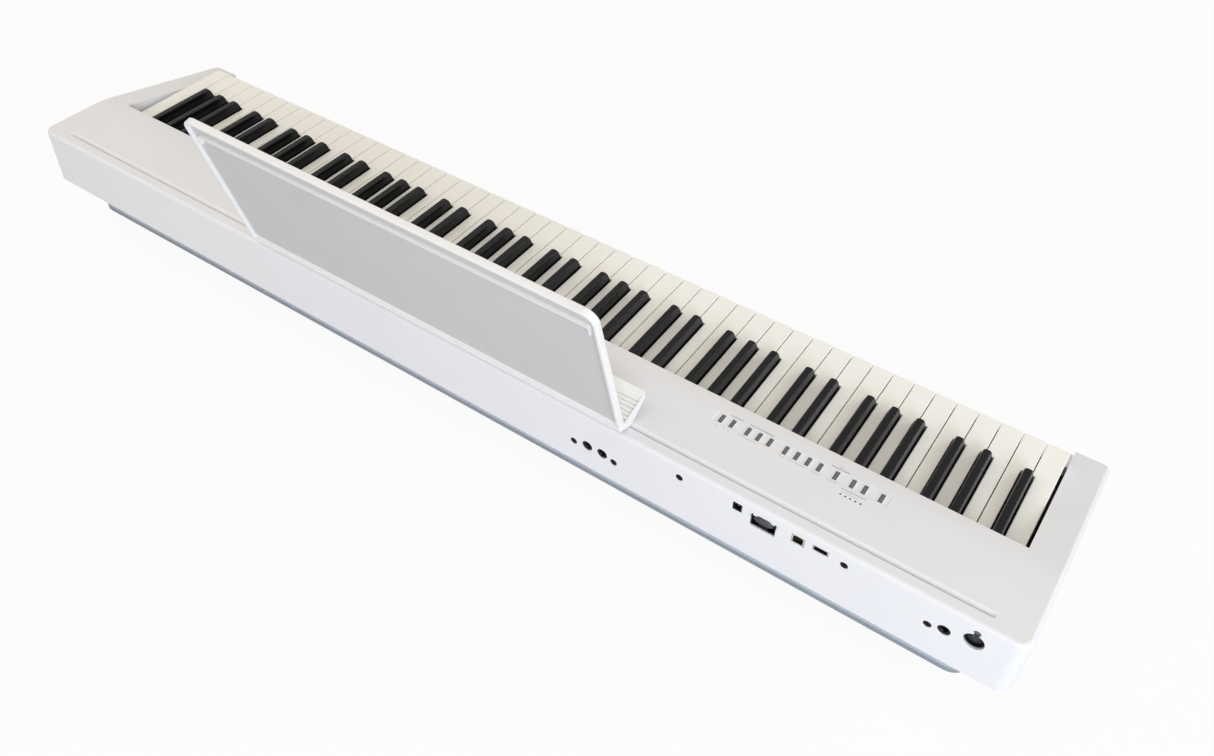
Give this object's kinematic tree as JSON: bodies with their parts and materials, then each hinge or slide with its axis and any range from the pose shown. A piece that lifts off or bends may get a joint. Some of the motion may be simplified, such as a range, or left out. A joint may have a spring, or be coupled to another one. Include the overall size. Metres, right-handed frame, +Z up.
{
  "type": "digital piano",
  "caption": "Slim white full-length digital piano slab with weighted-key action, rear jacks, a row of panel buttons and a lift-off music rest standing in a slot.",
  "frame": {"origin": "under the middle of the whole piano with its music rest, on the surface its feet stand on", "axes": "+X to the treble end, +Y to the rear where the jacks are, +Z up"},
  "size_m": [1.3, 0.34, 0.3484],
  "materials": {
    "case_white": "satin white moulded plastic",
    "tray_grey": "silver-grey moulded plastic",
    "key_white": "smooth warm white key plastic",
    "key_black": "satin black key plastic",
    "steel_sheet": "plain pressed steel",
    "action_grey": "dark grey moulded plastic",
    "circuit_board": "green circuit board",
    "button_grey": "dark grey button plastic",
    "jack_black": "black connector plastic",
    "rubber_black": "black rubber",
    "cone_black": "black paper cone and steel basket"
  },
  "bodies": {
    "piano": {"black_keys_on_pivot_rail": "key_black", "bottom_tray": "tray_grey", "contact_board": "circuit_board", "cord_hook": "jack_black", "foot_front_left": "rubber_black", "foot_front_right": "rubber_black", "foot_rear_left": "rubber_black", "foot_rear_right": "rubber_black", "front_rail": "case_white", "hammers_on_hammer_rail": "action_grey", "key_chassis": "steel_sheet", "main_board": "circuit_board", "output_jack_board": "jack_black", "panel_board": "circuit_board", "pedal_jack_board": "jack_black", "phones_jack_board": "jack_black", "speaker_grille_left": "tray_grey", "speaker_grille_right": "tray_grey", "speaker_left": "cone_black", "speaker_right": "cone_black", "upper_case": "case_white", "white_keys_on_guide_rail": "key_white"},
    "music_rest": {"music_rest": "case_white"},
    "key_A0": {"key_A0": "key_white"},
    "key_A_sharp_0": {"key_A_sharp_0": "key_black"},
    "key_B0": {"key_B0": "key_white"},
    "key_C1": {"key_C1": "key_white"},
    "key_C_sharp_1": {"key_C_sharp_1": "key_black"},
    "key_D1": {"key_D1": "key_white"},
    "key_D_sharp_1": {"key_D_sharp_1": "key_black"},
    "key_E1": {"key_E1": "key_white"},
    "key_F1": {"key_F1": "key_white"},
    "key_F_sharp_1": {"key_F_sharp_1": "key_black"},
    "key_G1": {"key_G1": "key_white"},
    "key_G_sharp_1": {"key_G_sharp_1": "key_black"},
    "hammer_A0": {"hammer_A0": "action_grey"},
    "hammer_A_sharp_0": {"hammer_A_sharp_0": "action_grey"},
    "hammer_B0": {"hammer_B0": "action_grey"},
    "hammer_C1": {"hammer_C1": "action_grey"},
    "hammer_C_sharp_1": {"hammer_C_sharp_1": "action_grey"},
    "hammer_D1": {"hammer_D1": "action_grey"},
    "hammer_D_sharp_1": {"hammer_D_sharp_1": "action_grey"},
    "hammer_E1": {"hammer_E1": "action_grey"},
    "hammer_F1": {"hammer_F1": "action_grey"},
    "hammer_F_sharp_1": {"hammer_F_sharp_1": "action_grey"},
    "hammer_G1": {"hammer_G1": "action_grey"},
    "hammer_G_sharp_1": {"hammer_G_sharp_1": "action_grey"},
    "button_01": {"button_01": "button_grey"},
    "button_02": {"button_02": "button_grey"},
    "button_03": {"button_03": "button_grey"},
    "button_04": {"button_04": "button_grey"},
    "button_05": {"button_05": "button_grey"},
    "button_06": {"button_06": "button_grey"},
    "button_07": {"button_07": "button_grey"},
    "button_08": {"button_08": "button_grey"},
    "button_09": {"button_09": "button_grey"},
    "button_10": {"button_10": "button_grey"},
    "button_11": {"button_11": "button_grey"},
    "button_12": {"button_12": "button_grey"},
    "button_13": {"button_13": "button_grey"}
  },
  "joints": [
    {"name": "key_A0_press", "type": "hinge", "parent": "piano", "child": "key_A0", "pos_m": [-0.60075, 0.07695, 0.118], "axis": [1, 0, 0], "range_deg": [0, 2.6], "stiffness_Nm_per_rad": 1, "springref_deg": -8.59},
    {"name": "key_A_sharp_0_press", "type": "hinge", "parent": "piano", "child": "key_A_sharp_0", "pos_m": [-0.584, 0.07695, 0.118], "axis": [1, 0, 0], "range_deg": [0, 2.6], "stiffness_Nm_per_rad": 1, "springref_deg": -8.59},
    {"name": "key_B0_press", "type": "hinge", "parent": "piano", "child": "key_B0", "pos_m": [-0.57075, 0.07695, 0.118], "axis": [1, 0, 0], "range_deg": [0, 2.6], "stiffness_Nm_per_rad": 1, "springref_deg": -8.59},
    {"name": "key_C1_press", "type": "hinge", "parent": "piano", "child": "key_C1", "pos_m": [-0.55665, 0.07695, 0.118], "axis": [1, 0, 0], "range_deg": [0, 2.6], "stiffness_Nm_per_rad": 1, "springref_deg": -8.59},
    {"name": "key_C_sharp_1_press", "type": "hinge", "parent": "piano", "child": "key_C_sharp_1", "pos_m": [-0.5428, 0.07695, 0.118], "axis": [1, 0, 0], "range_deg": [0, 2.6], "stiffness_Nm_per_rad": 1, "springref_deg": -8.59},
    {"name": "key_D1_press", "type": "hinge", "parent": "piano", "child": "key_D1", "pos_m": [-0.52875, 0.07695, 0.118], "axis": [1, 0, 0], "range_deg": [0, 2.6], "stiffness_Nm_per_rad": 1, "springref_deg": -8.59},
    {"name": "key_D_sharp_1_press", "type": "hinge", "parent": "piano", "child": "key_D_sharp_1", "pos_m": [-0.5147, 0.07695, 0.118], "axis": [1, 0, 0], "range_deg": [0, 2.6], "stiffness_Nm_per_rad": 1, "springref_deg": -8.59},
    {"name": "key_E1_press", "type": "hinge", "parent": "piano", "child": "key_E1", "pos_m": [-0.50085, 0.07695, 0.118], "axis": [1, 0, 0], "range_deg": [0, 2.6], "stiffness_Nm_per_rad": 1, "springref_deg": -8.59},
    {"name": "key_F1_press", "type": "hinge", "parent": "piano", "child": "key_F1", "pos_m": [-0.48675, 0.07695, 0.118], "axis": [1, 0, 0], "range_deg": [0, 2.6], "stiffness_Nm_per_rad": 1, "springref_deg": -8.59},
    {"name": "key_F_sharp_1_press", "type": "hinge", "parent": "piano", "child": "key_F_sharp_1", "pos_m": [-0.4735, 0.07695, 0.118], "axis": [1, 0, 0], "range_deg": [0, 2.6], "stiffness_Nm_per_rad": 1, "springref_deg": -8.59},
    {"name": "key_G1_press", "type": "hinge", "parent": "piano", "child": "key_G1", "pos_m": [-0.46, 0.07695, 0.118], "axis": [1, 0, 0], "range_deg": [0, 2.6], "stiffness_Nm_per_rad": 1, "springref_deg": -8.59},
    {"name": "key_G_sharp_1_press", "type": "hinge", "parent": "piano", "child": "key_G_sharp_1", "pos_m": [-0.4465, 0.07695, 0.118], "axis": [1, 0, 0], "range_deg": [0, 2.6], "stiffness_Nm_per_rad": 1, "springref_deg": -8.59},
    {"name": "hammer_A0_swing", "type": "hinge", "parent": "piano", "child": "hammer_A0", "pos_m": [-0.60075, -0.00605, 0.078], "axis": [1, 0, 0], "range_deg": [0, 10.5]},
    {"name": "hammer_A_sharp_0_swing", "type": "hinge", "parent": "piano", "child": "hammer_A_sharp_0", "pos_m": [-0.584, -0.00605, 0.078], "axis": [1, 0, 0], "range_deg": [0, 10.5]},
    {"name": "hammer_B0_swing", "type": "hinge", "parent": "piano", "child": "hammer_B0", "pos_m": [-0.57075, -0.00605, 0.078], "axis": [1, 0, 0], "range_deg": [0, 10.5]},
    {"name": "hammer_C1_swing", "type": "hinge", "parent": "piano", "child": "hammer_C1", "pos_m": [-0.55665, -0.00605, 0.078], "axis": [1, 0, 0], "range_deg": [0, 10.5]},
    {"name": "hammer_C_sharp_1_swing", "type": "hinge", "parent": "piano", "child": "hammer_C_sharp_1", "pos_m": [-0.5428, -0.00605, 0.078], "axis": [1, 0, 0], "range_deg": [0, 10.5]},
    {"name": "hammer_D1_swing", "type": "hinge", "parent": "piano", "child": "hammer_D1", "pos_m": [-0.52875, -0.00605, 0.078], "axis": [1, 0, 0], "range_deg": [0, 10.5]},
    {"name": "hammer_D_sharp_1_swing", "type": "hinge", "parent": "piano", "child": "hammer_D_sharp_1", "pos_m": [-0.5147, -0.00605, 0.078], "axis": [1, 0, 0], "range_deg": [0, 10.5]},
    {"name": "hammer_E1_swing", "type": "hinge", "parent": "piano", "child": "hammer_E1", "pos_m": [-0.50085, -0.00605, 0.078], "axis": [1, 0, 0], "range_deg": [0, 10.5]},
    {"name": "hammer_F1_swing", "type": "hinge", "parent": "piano", "child": "hammer_F1", "pos_m": [-0.48675, -0.00605, 0.078], "axis": [1, 0, 0], "range_deg": [0, 10.5]},
    {"name": "hammer_F_sharp_1_swing", "type": "hinge", "parent": "piano", "child": "hammer_F_sharp_1", "pos_m": [-0.4735, -0.00605, 0.078], "axis": [1, 0, 0], "range_deg": [0, 10.5]},
    {"name": "hammer_G1_swing", "type": "hinge", "parent": "piano", "child": "hammer_G1", "pos_m": [-0.46, -0.00605, 0.078], "axis": [1, 0, 0], "range_deg": [0, 10.5]},
    {"name": "hammer_G_sharp_1_swing", "type": "hinge", "parent": "piano", "child": "hammer_G_sharp_1", "pos_m": [-0.4465, -0.00605, 0.078], "axis": [1, 0, 0], "range_deg": [0, 10.5]},
    {"name": "button_01_press", "type": "slide", "parent": "piano", "child": "button_01", "axis": [0, 0, -1], "range_m": [0, 0.001], "stiffness_N_per_m": 500, "springref_m": -0.001},
    {"name": "button_02_press", "type": "slide", "parent": "piano", "child": "button_02", "axis": [0, 0, -1], "range_m": [0, 0.001], "stiffness_N_per_m": 500, "springref_m": -0.001},
    {"name": "button_03_press", "type": "slide", "parent": "piano", "child": "button_03", "axis": [0, 0, -1], "range_m": [0, 0.001], "stiffness_N_per_m": 500, "springref_m": -0.001},
    {"name": "button_04_press", "type": "slide", "parent": "piano", "child": "button_04", "axis": [0, 0, -1], "range_m": [0, 0.001], "stiffness_N_per_m": 500, "springref_m": -0.001},
    {"name": "button_05_press", "type": "slide", "parent": "piano", "child": "button_05", "axis": [0, 0, -1], "range_m": [0, 0.001], "stiffness_N_per_m": 500, "springref_m": -0.001},
    {"name": "button_06_press", "type": "slide", "parent": "piano", "child": "button_06", "axis": [0, 0, -1], "range_m": [0, 0.001], "stiffness_N_per_m": 500, "springref_m": -0.001},
    {"name": "button_07_press", "type": "slide", "parent": "piano", "child": "button_07", "axis": [0, 0, -1], "range_m": [0, 0.001], "stiffness_N_per_m": 500, "springref_m": -0.001},
    {"name": "button_08_press", "type": "slide", "parent": "piano", "child": "button_08", "axis": [0, 0, -1], "range_m": [0, 0.001], "stiffness_N_per_m": 500, "springref_m": -0.001},
    {"name": "button_09_press", "type": "slide", "parent": "piano", "child": "button_09", "axis": [0, 0, -1], "range_m": [0, 0.001], "stiffness_N_per_m": 500, "springref_m": -0.001},
    {"name": "button_10_press", "type": "slide", "parent": "piano", "child": "button_10", "axis": [0, 0, -1], "range_m": [0, 0.001], "stiffness_N_per_m": 500, "springref_m": -0.001},
    {"name": "button_11_press", "type": "slide", "parent": "piano", "child": "button_11", "axis": [0, 0, -1], "range_m": [0, 0.001], "stiffness_N_per_m": 500, "springref_m": -0.001},
    {"name": "button_12_press", "type": "slide", "parent": "piano", "child": "button_12", "axis": [0, 0, -1], "range_m": [0, 0.001], "stiffness_N_per_m": 500, "springref_m": -0.001},
    {"name": "button_13_press", "type": "slide", "parent": "piano", "child": "button_13", "axis": [0, 0, -1], "range_m": [0, 0.001], "stiffness_N_per_m": 500, "springref_m": -0.001},
    {"name": "music_rest_lift", "type": "slide", "parent": "piano", "child": "music_rest", "axis": [0, 0, 1], "range_m": [0, 0.012]}
  ],
  "couplings": [
    {"joint": "hammer_A0_swing", "follows": "key_A0_press", "ratio": 3.95},
    {"joint": "hammer_A_sharp_0_swing", "follows": "key_A_sharp_0_press", "ratio": 3.95},
    {"joint": "hammer_B0_swing", "follows": "key_B0_press", "ratio": 3.95},
    {"joint": "hammer_C1_swing", "follows": "key_C1_press", "ratio": 3.95},
    {"joint": "hammer_C_sharp_1_swing", "follows": "key_C_sharp_1_press", "ratio": 3.95},
    {"joint": "hammer_D1_swing", "follows": "key_D1_press", "ratio": 3.95},
    {"joint": "hammer_D_sharp_1_swing", "follows": "key_D_sharp_1_press", "ratio": 3.95},
    {"joint": "hammer_E1_swing", "follows": "key_E1_press", "ratio": 3.95},
    {"joint": "hammer_F1_swing", "follows": "key_F1_press", "ratio": 3.95},
    {"joint": "hammer_F_sharp_1_swing", "follows": "key_F_sharp_1_press", "ratio": 3.95},
    {"joint": "hammer_G1_swing", "follows": "key_G1_press", "ratio": 3.95},
    {"joint": "hammer_G_sharp_1_swing", "follows": "key_G_sharp_1_press", "ratio": 3.95}
  ]
}
